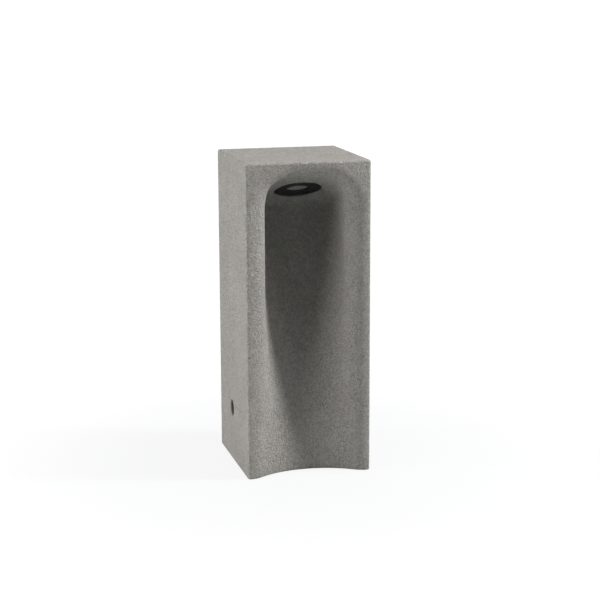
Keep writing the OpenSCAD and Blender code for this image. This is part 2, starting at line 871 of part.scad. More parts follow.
// Lid of the driver, with a step that fits in the case
module driver_cover() {
    step = 1.2;
    fit = 0.1;
    color("#303236") {
        translate([-driver_w / 2, driver_y, driver_z]) cube([driver_w, driver_wall, driver_h]);
        inset = driver_wall + fit;
        translate([-driver_w / 2 + inset, driver_y + driver_wall - 0.1, driver_z + inset])
            cube([driver_w - 2 * inset, step + 0.1, driver_h - 2 * inset]);
    }
}

module driver_board() {
    edge = driver_wall + 0.6;
    color("#2f6b3c") difference() {
        translate([-driver_w / 2 + edge, board_y, driver_z + edge])
            cube([driver_w - 2 * edge, 1.6, driver_h - 2 * edge]);
        driver_entries(0.4);
    }
}

// Wound choke on the board
module driver_coil() {
    color("#b06a35") translate([-9, board_y, driver_z + 18]) rotate([90, 0, 0]) {
        tube(6, 0, 0, 1);
        tube(5, 0, 0.9, 6);
        tube(6, 0, 5.9, 6.9);
    }
}

module driver_capacitors() {
    color("#20346b") for (z = [14, 27]) translate([10, board_y, driver_z + z]) rotate([90, 0, 0]) {
        tube(4.2, 0, 0, 7);
        tube(3.6, 0, 6.9, 7.4);
    }
}

// Screw in the left arm, with its head inside
module earth_screw() {
    color("#b9975b") at_earth() {
        tube(m4_r, 0, 0.2 - sheet, lug_t + 0.1);
        difference() {
            tube(m4_head_r, 0, lug_t, lug_t + m4_head_t);
            translate([-m4_head_r, -0.5, lug_t + m4_head_t - 1]) cube([2 * m4_head_r, 1, 2]);
        }
    }
}

// Children with their origin on the inner face of the left arm, +Z pointing away from it
module at_earth() {
    translate([sheet - arm_x, earth_y, earth_z]) rotate([0, 90, 0]) children();
}

// Ring lug under the earth screw
module earth_lug() {
    color("#c7c9cb") at_earth() difference() {
        union() {
            tube(m4_head_r, 0, 0, lug_t);
            translate([0, -1.6, 0]) cube([lug_len, 3.2, lug_t]);
        }
        translate([0, 0, -1]) cylinder(r = m4_r + gap, h = 3, $fn = 32);
    }
}

// Lead from the lug, down the arm and under the driver
module earth_lead() {
    lead_x = sheet - arm_x + lug_t + earth_r;
    mid_y = driver_y + driver_d / 2;
    color("#5b8f3a") bar_path([
        [lead_x, earth_y, earth_z - lug_len + 3],
        [lead_x, earth_y, low_z],
        [lead_x, mid_y, low_z],
        [earth_in_x, mid_y, low_z],
        [earth_in_x, mid_y, driver_z + 3]
    ], earth_r, 3);
}

concrete_body();
lamp_sleeve();
cable_conduit();
side_inserts();
left_grub_screw();
right_grub_screw();
bezel_ring();
lens();
lens_gasket();
lens_seal();
reflector();
led_chip();
led_board();
board_screws();
thermal_pad();
lamp_housing();
retaining_springs();
lead_boot();
lamp_lead();
riser_cable();
lamp_plug();
plug_pins();
plug_ring();
lamp_socket();
socket_clip();
clip_screws();
output_lead();
base_bracket();
cable_grommet();
inlet_gland_nut();
inlet_seal();
inlet_connector();
inlet_coupling_nut();
inlet_plug();
inlet_lead();
driver_case();
driver_cover();
driver_board();
driver_coil();
driver_capacitors();
driver_screws();
earth_screw();
earth_lug();
earth_lead();
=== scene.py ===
"""Looks of a low concrete path light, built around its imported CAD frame.

Metres, +Z up, the front with the niche towards -Y. The block is rebuilt as one fine stone mesh, and the
lamp's ring and lens as finely turned pieces. Every other CAD part keeps its shape and gets the material of
its slot in the record.
"""

import json
import math
import random

import bmesh
import bpy
import numpy as np
from mathutils import Matrix, Vector, kdtree, noise


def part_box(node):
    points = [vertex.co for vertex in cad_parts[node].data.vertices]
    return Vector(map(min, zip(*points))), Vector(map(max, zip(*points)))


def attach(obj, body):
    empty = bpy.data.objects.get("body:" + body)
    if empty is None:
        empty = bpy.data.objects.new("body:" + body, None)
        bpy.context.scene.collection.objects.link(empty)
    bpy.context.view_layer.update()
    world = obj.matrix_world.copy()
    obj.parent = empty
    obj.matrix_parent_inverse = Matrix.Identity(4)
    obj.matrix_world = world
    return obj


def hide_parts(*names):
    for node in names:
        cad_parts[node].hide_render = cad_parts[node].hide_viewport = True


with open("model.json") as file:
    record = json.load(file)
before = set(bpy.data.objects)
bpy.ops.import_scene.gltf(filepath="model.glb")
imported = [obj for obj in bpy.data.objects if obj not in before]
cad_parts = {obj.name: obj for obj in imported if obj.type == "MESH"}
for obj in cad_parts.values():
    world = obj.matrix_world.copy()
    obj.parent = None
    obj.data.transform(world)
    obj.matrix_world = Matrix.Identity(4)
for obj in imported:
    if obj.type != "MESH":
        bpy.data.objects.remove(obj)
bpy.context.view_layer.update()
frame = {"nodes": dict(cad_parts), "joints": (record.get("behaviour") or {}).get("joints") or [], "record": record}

MM = 0.001


def smooth_step(t):
    t = min(1.0, max(0.0, t))
    return t * t * (3 - 2 * t)


def soft_min(a, b, k):
    """The smaller of two lengths, with the corner between them rounded over k."""
    h = max(0.0, k - abs(a - b)) / k
    return min(a, b) - h * h * k / 4


# --------------------------------------------------------------------------------------------------
# Sizes: the block and the lamp come from the frame, the shape of the niche from a few measures of its own

block_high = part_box("concrete_body")[1]
HALF_W = block_high.x
HALF_D = block_high.y
TOP = block_high.z
EDGE_R = 2.5 * MM
FOOT_R = 1.4 * MM

joint_axis = {joint["name"]: Vector(joint["axis"]) for joint in frame["joints"]}
LAMP_AXIS = -joint_axis["lamp_withdraw"].normalized()
TILT = math.atan2(LAMP_AXIS.y, LAMP_AXIS.z)
# How far the lens lies behind the lamp's face, and the face behind the slanting ceiling of the niche
LENS_FRONT = 0.8 * MM
LENS_BACK = 2.8 * MM
SINK = 1.2 * MM
lens_low, lens_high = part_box("lens")
LAMP_FACE = (lens_low + lens_high) / 2 - LAMP_AXIS * (LENS_FRONT + LENS_BACK) / 2
CEILING = LAMP_FACE - LAMP_AXIS * SINK
LAMP_DEPTH = CEILING.y + HALF_D

# Niche: depths at the ground and under the ceiling, lean of the back wall, radii of its lip and its upper
# corners, the lip's distance from the block's sides, rounding between wall and ceiling, and half the flat up
# its middle with the height over which it widens
FOOT_DEPTH = 18 * MM
TOP_DEPTH = 70 * MM
BACK_SLOPE = 0.06
LIP_R = 19.4 * MM
ARCH_R = 28 * MM
LIP_MARGIN = 2.6 * MM
CEILING_BLEND = 22 * MM
SPINE_HALF = 1.5 * MM
SPINE_RISE = 60 * MM

CORNER_R = LIP_R + ARCH_R
RIM_X = HALF_W - LIP_MARGIN
RIM_Z = CEILING.z + LAMP_DEPTH * math.tan(TILT) + LIP_R * math.tan((math.pi / 2 - TILT) / 2)
CORNER_X = RIM_X - CORNER_R
CORNER_Z = RIM_Z - CORNER_R
ROLL_END_Z = RIM_Z - LIP_R * math.cos(TILT)
CEILING_BACK_Z = CEILING.z - (TOP_DEPTH - LAMP_DEPTH) * math.tan(TILT)
BACK_SWEEP = (TOP_DEPTH - FOOT_DEPTH - BACK_SLOPE * CEILING_BACK_Z) / smooth_step(CEILING_BACK_Z / TOP)

# Seat of the lamp, pocket under the block and bores for the set screws
SEAT_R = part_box("bezel_ring")[1].x + 0.3 * MM
SEAT_DEPTH = 6 * MM
SLEEVE_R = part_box("lamp_sleeve")[1].x
SLEEVE_LENGTH = 17 * MM
SCREW_Y = sum(corner.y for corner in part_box("left_grub_screw")) / 2
SCREW_Z = sum(corner.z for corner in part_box("left_grub_screw")) / 2
INSERT_R = 6 * MM
INSERT_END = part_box("side_inserts")[1].x
ACCESS_R = 8 * MM
POCKET_W = 68 * MM
POCKET_D = 60 * MM
POCKET_H = 84 * MM
POCKET_R = 6 * MM

# Fineness of the stone mesh: points along the front, along a side and around a corner, and steps between its
# slices low down and in the arch; points closer together than SAME are one
FRONT_POINTS = 111
SIDE_POINTS = 62
CORNER_POINTS = 4
LOW_STEP = 1.9 * MM
ARCH_STEP = 0.78 * MM
SAME = 0.002 * MM


# --------------------------------------------------------------------------------------------------
# The niche


def niche_depth(z):
    """Depth of the niche on the middle plane: the back wall, or the sloping ceiling with its rolled lip."""
    wall = FOOT_DEPTH + BACK_SLOPE * z + BACK_SWEEP * smooth_step(z / TOP)
    if z > ROLL_END_Z:
        ceiling = LIP_R - math.sqrt(max(0.0, LIP_R ** 2 - (RIM_Z - z) ** 2))
    else:
        ceiling = LAMP_DEPTH + (CEILING.z - z) / math.tan(TILT)
    return soft_min(wall, ceiling, CEILING_BLEND)


def niche_half(z, steps=24):
    """Right half of a level cut through the niche, from its rim to the middle, as points (x, depth).

    The lip rolls outwards through an angle, and the hollow turns back through the same angle into the flat.
    """
    if z < CORNER_Z:
        rim = RIM_X
    else:
        rim = CORNER_X + math.sqrt(CORNER_R ** 2 - (z - CORNER_Z) ** 2)
    flat = SPINE_HALF + (CORNER_X - SPINE_HALF) * smooth_step((z - CORNER_Z + SPINE_RISE) / SPINE_RISE)
    span = rim - flat
    depth = niche_depth(z)
    turn = math.pi / 2 if depth >= span else 2 * math.atan(depth / span)
    radii = span / math.sin(turn)
    roll = LIP_R if z < CORNER_Z else radii * LIP_R / CORNER_R
    hollow = radii - roll
    angles = [turn * i / steps for i in range(steps + 1)]
    lip = [(rim - roll * math.sin(a), roll * (1 - math.cos(a))) for a in angles]
    back = [(flat + hollow * math.sin(a), depth - hollow * (1 - math.cos(a))) for a in reversed(angles)]
    return lip + back + [(0.0, depth)]


def even_points(line, count):
    """Points at even steps along a line of (x, y) points."""
    line = np.array(line)
    lengths = np.linalg.norm(np.diff(line, axis=0), axis=1)
    along = np.concatenate([[0.0], np.cumsum(lengths)])
    at = np.linspace(0.0, along[-1], count)
    return np.column_stack([np.interp(at, along, line[:, k]) for k in (0, 1)])


# --------------------------------------------------------------------------------------------------
# The stone block


def front_line(z, inset):
    """The front of a level cut through the block, from the left corner to the right one."""
    edge = HALF_W - EDGE_R
    outline = [(edge, 0.0)] + niche_half(min(z, TOP - EDGE_R))
    right = even_points(outline, FRONT_POINTS // 2 + 1)
    left = right * (-1, 1)
    line = np.concatenate([left, right[-2::-1]])
    return line + (0.0, inset - HALF_D)


def corner_points(side, end, start, radius):
    """Points inside one rounded upright edge, without its two ends."""
    angles = [start + math.pi / 2 * i / CORNER_POINTS for i in range(1, CORNER_POINTS)]
    centre = (side * (HALF_W - EDGE_R), end * (HALF_D - EDGE_R))
    return np.array([(centre[0] + radius * math.cos(a), centre[1] + radius * math.sin(a)) for a in angles])


def block_sides(z, inset):
    """The four sides of a level cut, anticlockwise from the front left, and the corner after each side."""
    radius = EDGE_R - inset
    straight = HALF_D - EDGE_R
    ys = np.linspace(-straight, straight, SIDE_POINTS)
    xs = np.linspace(HALF_W - EDGE_R, EDGE_R - HALF_W, FRONT_POINTS)
    front = front_line(z, inset)
    right = np.column_stack([np.full(SIDE_POINTS, HALF_W - inset), ys])
    back = np.column_stack([xs, np.full(FRONT_POINTS, HALF_D - inset)])
    left = np.column_stack([np.full(SIDE_POINTS, inset - HALF_W), ys[::-1]])
    corners = [
        corner_points(1, -1, -math.pi / 2, radius),
        corner_points(1, 1, 0, radius),
        corner_points(-1, 1, math.pi / 2, radius),
        corner_points(-1, -1, math.pi, radius),
    ]
    return [front, right, back, left], corners


def block_levels():
    """Heights and insets of the slices: the foot's arris, the straight part, and the rounded top edge."""
    turns = [math.pi / 2 * i / CORNER_POINTS for i in range(CORNER_POINTS + 1)]
    foot = [(FOOT_R * (1 - math.sin(a)), FOOT_R * (1 - math.cos(a))) for a in reversed(turns)]
    low = [(z, 0.0) for z in np.arange(FOOT_R + LOW_STEP, CORNER_Z, LOW_STEP)]
    arch = [(z, 0.0) for z in np.arange(CORNER_Z, TOP - EDGE_R - ARCH_STEP / 2, ARCH_STEP)]
    top = [(TOP - EDGE_R * (1 - math.sin(a)), EDGE_R * (1 - math.cos(a))) for a in turns]
    return [(0.0, EDGE_R)] + foot + low + arch + top


def cap_points(z, sides):
    """A net of points that fills one level cut, as a blend from its front line to its back line."""
    front, _, back, _ = sides
    depth = np.linspace(0.0, 1.0, SIDE_POINTS)[:, None, None]
    rows = (1 - depth) * front[None] + depth * back[None, ::-1]
    return np.concatenate([rows, np.full(rows.shape[:2] + (1,), z)], axis=2)


def block_mesh():
    """The block as slices joined by quads, with a net of quads over its top and its underside."""
    rings = []
    caps = []
    levels = block_levels()
    for j, (z, inset) in enumerate(levels):
        sides, corners = block_sides(z, inset)
        outline = np.concatenate([part for pair in zip(sides, corners) for part in pair])
        rings.append(np.column_stack([outline, np.full(len(outline), z)]))
        if j in (0, len(levels) - 1):
            caps.append(cap_points(z, sides))
    count = len(rings[0])
    points = [np.concatenate(rings)]
    faces = []
    for j in range(len(rings) - 1):
        for i in range(count):
            after = (i + 1) % count
            faces.append((j * count + i, j * count + after, (j + 1) * count + after, (j + 1) * count + i))
    start = len(rings) * count
    for net, upwards in zip(caps, (False, True)):
        rows, columns = net.shape[:2]
        points.append(net.reshape(-1, 3))
        for j in range(rows - 1):
            for i in range(columns - 1):
                a = start + j * columns + i
                quad = (a, a + 1, a + columns + 1, a + columns)
                faces.append(quad if upwards else quad[::-1])
        start += rows * columns
    mesh = bpy.data.meshes.new("block")
    mesh.from_pydata(np.concatenate(points).tolist(), [], faces)
    bm = bmesh.new()
    bm.from_mesh(mesh)
    bmesh.ops.remove_doubles(bm, verts=bm.verts, dist=SAME)
    bmesh.ops.dissolve_degenerate(bm, edges=bm.edges, dist=SAME)
    bmesh.ops.recalc_face_normals(bm, faces=bm.faces)
    return bm


def on_front(x, z):
    """A point of the niche or the front face straight behind (x, z)."""
    line = np.array(niche_half(z))
    depth = np.interp(abs(x), line[::-1, 0], line[::-1, 1])
    return Vector((x, depth - HALF_D, z))


def pore_places(rng):
    """Centres and radii of the air holes in the stone: two that stand out in the niche, others at random."""
    others = 46
    margin = 8 * MM
    places = [(on_front(-9 * MM, 236 * MM), 1.1 * MM), (on_front(20 * MM, 62 * MM), 1.0 * MM)]
    for _ in range(others):
        z = rng.uniform(margin, TOP - margin)
        across = rng.uniform(-0.9, 0.9)
        side = rng.choice(("front", "front", "left", "right", "back", "top"))
        centre = {
            "front": on_front(across * HALF_W, min(z, CORNER_Z)),
            "left": Vector((-HALF_W, across * HALF_D, z)),
            "right": Vector((HALF_W, across * HALF_D, z)),
            "back": Vector((across * HALF_W, HALF_D, z)),
            "top": Vector((across * HALF_W, rng.uniform(-0.9, 0.9) * HALF_D, TOP)),
        }[side]
        places.append((centre, rng.uniform(0.35, 0.85) * MM))
    return places


def near(tree, centre, radius):
    """Numbers of the points in a tree that lie within a radius of a centre."""
    return [index for _, index, _ in tree.find_range(centre, radius)]


def vertex_tree(bm):
    """Search tree over a mesh's points."""
    bm.verts.ensure_lookup_table()
    tree = kdtree.KDTree(len(bm.verts))
    for vert in bm.verts:
        tree.insert(vert.co, vert.index)
    tree.balance()
    return tree


def refine_around(bm, places, reach, cuts):
    """Splits the faces around each place, so that a small hole finds enough points there."""
    tree = vertex_tree(bm)
    edges = set()
    for centre, radius in places:
        for index in near(tree, centre, radius + reach):
            for face in bm.verts[index].link_faces:
                edges.update(face.edges)
    bmesh.ops.subdivide_edges(bm, edges=list(edges), cuts=cuts, use_grid_fill=True)


def weather(bm, places):
    """Presses the surface in by parts of a millimetre: soft waves, grain, ragged edges and air holes."""
    bm.normal_update()
    depth = {}
    for vert in bm.verts:
        co = vert.co
        corner = min(HALF_W - abs(co.x), HALF_D - abs(co.y)) if co.z < TOP - EDGE_R else TOP - co.z
        edge = smooth_step(1 - abs(corner) / EDGE_R)
        waves = 0.5 + 0.5 * noise.noise(co / (14 * MM))
        grain = 0.5 + 0.5 * noise.noise(co / (2.6 * MM))
        chips = max(0.0, noise.noise(co / (5 * MM) + Vector((7, 3, 5))) - 0.25)
        on_faces = 0.05 * waves + 0.07 * grain
        on_edges = 0.05 * grain + 0.3 * chips
        depth[vert.index] = (on_faces + edge * on_edges) * MM
    tree = vertex_tree(bm)
    for centre, radius in places:
        for index in near(tree, centre, radius):
            away = (bm.verts[index].co - centre).length / radius
            depth[index] += 1.1 * radius * math.sqrt(max(0.0, 1 - away * away))
    moves = {index: bm.verts[index].normal * -value for index, value in depth.items()}
    for index, move in moves.items():
        bm.verts[index].co += move


def turned(profile, steps=96):
    """Closed mesh turned about Z from a closed profile of (radius, height) points."""
    on_axis = 1e-9
    bm = bmesh.new()
    rings = []
    for radius, height in profile:
        if radius < on_axis:
            rings.append([bm.verts.new((0, 0, height))] * steps)
            continue
        turns = [2 * math.pi * i / steps for i in range(steps)]
        rings.append([bm.verts.new((radius * math.cos(a), radius * math.sin(a), height)) for a in turns])
    for near_ring, far_ring in zip(rings, rings[1:] + rings[:1]):
        for i in range(steps):
            k = (i + 1) % steps
            corners = [near_ring[i], near_ring[k], far_ring[k], far_ring[i]]
            corners = [v for n, v in enumerate(corners) if v not in corners[:n]]
            if len(corners) > 2:
                bm.faces.new(corners)
    bmesh.ops.recalc_face_normals(bm, faces=bm.faces)
    return bm


def rounded(profile, radius, steps=4):
    """The profile with each of its corners off the axis rounded by a curve between the two straights."""
    most_of_side = 0.45
    line = []
    for i, here in enumerate(profile):
        here = Vector(here)
        before = Vector(profile[i - 1]) - here
        after = Vector(profile[(i + 1) % len(profile)]) - here
        if here.x == 0:
            line.append(tuple(here))
            continue
        reach = min(radius, most_of_side * before.length, most_of_side * after.length)
        start = here + before.normalized() * reach
        end = here + after.normalized() * reach
        for k in range(steps + 1):
            t = k / steps
            line.append(tuple(start * (1 - t) ** 2 + here * 2 * t * (1 - t) + end * t * t))
    return line


def lamp_matrix():
    """Places things in the lamp's frame: the middle of its face, with +Z along its axis into the stone."""
    return Matrix.Translation(LAMP_FACE) @ Matrix.Rotation(-TILT, 4, "X")


def side_matrix(side):
    """Places things about the axis of a set screw, with +Z outwards."""
    turn = Matrix.Rotation(side * math.pi / 2, 4, "Y")
    return Matrix.Translation((0, SCREW_Y, SCREW_Z)) @ turn


def pocket_cutter():
    """Upright prism with rounded corners, from below the ground up to the pocket's roof."""
    below = 5 * MM
    outline = []
    for side, end, start in ((1, 1, 0), (-1, 1, 90), (-1, -1, 180), (1, -1, 270)):
        centre = Vector((side * (POCKET_W / 2 - POCKET_R), SCREW_Y + end * (POCKET_D / 2 - POCKET_R)))
        for degrees in range(start, start + 91, 15):
            a = math.radians(degrees)
            outline.append(centre + POCKET_R * Vector((math.cos(a), math.sin(a))))
    bm = bmesh.new()
    floor = [bm.verts.new((p.x, p.y, -below)) for p in outline]
    roof = [bm.verts.new((p.x, p.y, POCKET_H)) for p in outline]
    bm.faces.new(floor[::-1])
    bm.faces.new(roof)
    for i in range(len(outline)):
        k = (i + 1) % len(outline)
        bm.faces.new((floor[i], floor[k], roof[k], roof[i]))
    return bm


def cutters():
    """What is taken out of the block: lamp seat, cable way, pocket, and a flared bore on each side."""
    seat = turned([
        (0, -SEAT_DEPTH), (SEAT_R, -SEAT_DEPTH), (SEAT_R, 0), (SLEEVE_R, 0), (SLEEVE_R, SLEEVE_LENGTH),
        (0, SLEEVE_LENGTH),
    ])
    seat.transform(lamp_matrix())
    duct_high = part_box("cable_conduit")[1]
    duct_r = duct_high.x
    duct = turned([(0, POCKET_H - MM), (duct_r, POCKET_H - MM), (duct_r, duct_high.z), (0, duct_high.z)], 48)
    duct.transform(Matrix.Translation((0, duct_high.y - duct_r, 0)))
    flare = 0.6 * MM
    bores = []
    for side in (-1, 1):
        bore = turned(rounded([
            (0, POCKET_W / 2 - MM), (INSERT_R, POCKET_W / 2 - MM), (INSERT_R, INSERT_END),
            (ACCESS_R, INSERT_END), (ACCESS_R, HALF_W - flare), (ACCESS_R + 2 * flare, HALF_W + flare),
            (0, HALF_W + flare),
        ], 0.5 * MM), 64)
        bore.transform(side_matrix(side))
        bores.append(bore)
    return [pocket_cutter(), seat, duct] + bores


def to_object(bm, name):
    """A scene object made from a mesh under construction."""
    mesh = bpy.data.meshes.new(name)
    bm.to_mesh(mesh)
    bm.free()
    obj = bpy.data.objects.new(name, mesh)
    bpy.context.scene.collection.objects.link(obj)
    return obj


def cut(obj, tools):
    """Takes each closed tool mesh out of obj."""
    for tool in tools:
        tool_object = to_object(tool, "tool")
        modifier = obj.modifiers.new("cut", "BOOLEAN")
        modifier.operation = "DIFFERENCE"
        modifier.solver = "MANIFOLD"
        modifier.object = tool_object
        graph = bpy.context.evaluated_depsgraph_get()
        result = bpy.data.meshes.new_from_object(obj.evaluated_get(graph), depsgraph=graph)
        obj.modifiers.clear()
        obj.data = result
        bpy.data.objects.remove(tool_object)


def shade(obj, sharp_over=40):
    """Smooth shading, with creases where two faces meet at more than an angle in degrees."""
    bm = bmesh.new()
    bm.from_mesh(obj.data)
    limit = math.radians(sharp_over)
    for face in bm.faces:
        face.smooth = True
    for edge in bm.edges:
        edge.smooth = len(edge.link_faces) != 2 or edge.calc_face_angle(0) < limit
    bm.to_mesh(obj.data)
    bm.free()


def stone_block():
    """The concrete block: sliced out, pitted and weathered, then bored."""
    rng = random.Random(11)
    places = pore_places(rng)
    bm = block_mesh()
    refine_around(bm, places, reach=0.5 * MM, cuts=2)
    weather(bm, places)
    obj = to_object(bm, "stone_block")
    cut(obj, cutters())
    shade(obj)
    return obj


# --------------------------------------------------------------------------------------------------
# Lamp pieces that show


def bezel():
    """The ring: a shallow dished flange with a bevelled opening, and the skirt behind it."""
    outer_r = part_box("bezel_ring")[1].x
    opening_r = 10 * MM
    flange = 1.6 * MM
    dish = 0.8 * MM
    rim = 2 * MM
    bevel = 0.5 * MM
    gap = 0.05 * MM
    skirt_r = 18.6 * MM
    skirt_length = 4 * MM
    collar_r = 14.95 * MM
    profile = [
        (opening_r, 0), (opening_r, bevel + dish - flange), (opening_r + bevel, dish - flange),
        (outer_r - rim, -flange), (outer_r - bevel, -flange), (outer_r, bevel - flange), (outer_r, -gap),
        (skirt_r, -gap), (skirt_r, skirt_length), (collar_r, skirt_length), (collar_r, 0),
    ]
    bm = turned(rounded(profile, 0.25 * MM), 160)
    bm.transform(lamp_matrix())
    obj = to_object(bm, "black_ring")
    shade(obj)
    return obj


def lens_disc():
    """The frosted disc: flat, with a softened edge."""
    radius = 14.6 * MM
    profile = [(0, LENS_FRONT), (radius, LENS_FRONT), (radius, LENS_BACK), (0, LENS_BACK)]
    bm = turned(rounded(profile, 0.4 * MM), 128)
    bm.transform(lamp_matrix())
    obj = to_object(bm, "frosted_lens")
    shade(obj)
    return obj


# --------------------------------------------------------------------------------------------------
# Materials


class Shader:
    """A Principled material under construction. Most methods add a node and return its output socket."""

    def __init__(self, name, roughness=0.5, metallic=0.0):
        self.material = bpy.data.materials.new(name)
        self.material.use_nodes = True
        self.tree = self.material.node_tree
        self.surface = self.tree.nodes["Principled BSDF"]
        self.place = self.node("ShaderNodeTexCoord").outputs["Object"]
        self.set("Roughness", roughness)
        self.set("Metallic", metallic)

    def node(self, kind, **settings):
        made = self.tree.nodes.new(kind)
        for key, value in settings.items():
            setattr(made, key, value)
        return made

    def feed(self, socket, value):
        if isinstance(value, bpy.types.NodeSocket):
            self.tree.links.new(value, socket)
        elif isinstance(value, tuple) and len(value) == 3 and socket.type == "RGBA":
            socket.default_value = value + (1.0,)
        else:
            socket.default_value = value

    def set(self, name, value):
        self.feed(self.surface.inputs[name], value)

    def stretched(self, stretch):
        """The place, squeezed along each axis: a small number draws a texture out along that axis."""
        mapping = self.node("ShaderNodeMapping")
        self.feed(mapping.inputs["Vector"], self.place)
        mapping.inputs["Scale"].default_value = stretch
        return mapping.outputs["Vector"]

    def noise(self, size, detail=2.0, stretch=None):
        """Noise from 0 to 1 whose lumps are about size across."""
        made = self.node("ShaderNodeTexNoise")
        self.feed(made.inputs["Vector"], self.stretched(stretch) if stretch else self.place)
        made.inputs["Scale"].default_value = 1 / size
        made.inputs["Detail"].default_value = detail
        return made.outputs[0]

    def cells(self, size, output="Distance"):
        """Random cells about size across: the distance to the nearest centre, or a colour for each cell."""
        made = self.node("ShaderNodeTexVoronoi")
        self.feed(made.inputs["Vector"], self.place)
        made.inputs["Scale"].default_value = 1 / size
        return made.outputs[output]

    def calc(self, operation, a, b=0.0):
        made = self.node("ShaderNodeMath", operation=operation)
        self.feed(made.inputs[0], a)
        self.feed(made.inputs[1], b)
        return made.outputs[0]

    def span(self, value, low, high, to_low=0.0, to_high=1.0):
        """Maps low..high smoothly to to_low..to_high, and holds the ends."""
        made = self.node("ShaderNodeMapRange", interpolation_type="SMOOTHSTEP")
        for name, number in zip(("From Min", "From Max", "To Min", "To Max"), (low, high, to_low, to_high)):
            made.inputs[name].default_value = number
        self.feed(made.inputs["Value"], value)
        return made.outputs["Result"]

    def mix(self, share, a, b):
        """Colour a where the share is 0 and colour b where it is 1."""
        made = self.node("ShaderNodeMix", data_type="RGBA")
        share_socket, a_socket, b_socket = (made.inputs[i] for i in (0, 6, 7))
        self.feed(share_socket, share)
        self.feed(a_socket, a)
        self.feed(b_socket, b)
        return made.outputs[2]

    def shaded(self, colour, factor):
        """A colour, or a colour socket, made darker or lighter by a factor."""
        made = self.node("ShaderNodeVectorMath", operation="SCALE")
        if isinstance(colour, tuple):
            made.inputs[0].default_value = colour
        else:
            self.feed(made.inputs[0], colour)
        self.feed(made.inputs["Scale"], factor)
        return made.outputs[0]

    def bump(self, height, depth, under=None):
        """Normals of a surface raised by height times depth, on top of another bump if there is one."""
        made = self.node("ShaderNodeBump")
        made.inputs["Distance"].default_value = depth
        self.feed(made.inputs["Height"], height)
        if under is not None:
            self.feed(made.inputs["Normal"], under)
        return made.outputs["Normal"]


def bore_shade_share(m):
    """Share from 0 to 1 of a place inside the bores for the set screws, where painted shade darkens the stone."""
    split = m.node("ShaderNodeSeparateXYZ")
    m.feed(split.inputs[0], m.place)
    x, y, z = split.outputs
    across = m.calc("SUBTRACT", y, SCREW_Y)
    above = m.calc("SUBTRACT", z, SCREW_Z)
    squares = m.calc("ADD", m.calc("MULTIPLY", across, across), m.calc("MULTIPLY", above, above))
    from_axis = m.calc("SQRT", squares)
    near_axis = m.span(from_axis, ACCESS_R, ACCESS_R + 0.6 * MM, 1.0, 0.0)
    inside = m.span(m.calc("ABSOLUTE", x), HALF_W - 2.5 * MM, HALF_W - 0.3 * MM, 1.0, 0.0)
    return m.calc("MULTIPLY", near_axis, inside)


def concrete():
    """Sand-blasted grey concrete: cloudy paste, light and dark sand, fine dark pits, and painted shade inside the
    bores.
    """
    m = Shader("cast_concrete", roughness=0.92)
    clouds = m.noise(42 * MM, 4)
    patches = m.noise(9 * MM, 3)
    grain = m.noise(1.3 * MM, 2)
    sand = m.cells(1.5 * MM, "Color")
    pits = m.span(m.cells(2.6 * MM), 0.10, 0.2, 1.0, 0.0)
    tone = m.calc("ADD", m.span(clouds, 0.3, 0.7, 0.96, 1.03), m.span(patches, 0.3, 0.7, -0.03, 0.03))
    tone = m.calc("ADD", tone, m.span(grain, 0.3, 0.7, -0.09, 0.09))
    tone = m.calc("ADD", tone, m.span(sand, 0.2, 0.8, -0.12, 0.12))
    tone = m.calc("SUBTRACT", tone, m.calc("MULTIPLY", pits, 0.3))
    # Painted shade: inside the set-screw bores the stone's tone is cut down to 0.3
    tone = m.calc("MULTIPLY", tone, m.span(bore_shade_share(m), 0.0, 1.0, 1.0, 0.3))
    paste = m.mix(m.span(m.noise(5 * MM, 2), 0.35, 0.65), (0.330, 0.322, 0.297), (0.342, 0.321, 0.300))
    m.set("Base Color", m.shaded(paste, tone))
    m.set("Specular IOR Level", 0.25)
    coarse = m.bump(m.noise(1.8 * MM, 3), 1.4 * MM)
    fine = m.bump(m.noise(0.9 * MM, 2), 0.7 * MM, coarse)
    m.set("Normal", m.bump(m.calc("SUBTRACT", 1.0, pits), 0.3 * MM, fine))
    return m.material


def powder_coat():
    """Matte black powder coat with a fine orange-peel grain, a little greyer where it is rubbed."""
    m = Shader("black_powder_coat", roughness=0.55)
    peel = m.noise(0.35 * MM, 2)
    rub = m.span(m.noise(6 * MM, 4), 0.55, 0.75)
    m.set("Base Color", m.mix(rub, (0.006, 0.006, 0.0055), (0.011, 0.011, 0.01)))
    m.set("Roughness", m.span(m.noise(3 * MM, 3), 0.3, 0.7, 0.45, 0.62))
    m.set("Normal", m.bump(peel, 0.03 * MM))
    return m.material


def frosted_glass():
    """Frosted glass: cloudy, grey against the dark cup behind it."""
    m = Shader("frosted_glass", roughness=0.45)
    cloud = m.noise(5 * MM, 3)
    m.set("Base Color", m.mix(cloud, (0.36, 0.37, 0.36), (0.46, 0.47, 0.46)))
    m.set("Transmission Weight", 0.35)
    m.set("Roughness", m.span(cloud, 0.3, 0.7, 0.4, 0.55))
    m.set("Normal", m.bump(m.noise(0.15 * MM, 2), 0.01 * MM))
    return m.material


def rubber(name, colour, roughness=0.75):
    """Soft rubber or silicone with a dusty bloom."""
    m = Shader(name, roughness=roughness)
    dust = m.span(m.noise(7 * MM, 5), 0.45, 0.8, 0.0, 0.25)
    m.set("Base Color", m.mix(dust, colour, tuple(c + 0.06 for c in colour)))
    m.set("Roughness", m.span(m.noise(2 * MM, 3), 0.3, 0.7, roughness - 0.08, roughness + 0.1))
    m.set("Normal", m.bump(m.noise(0.4 * MM, 3), 0.02 * MM))
    return m.material


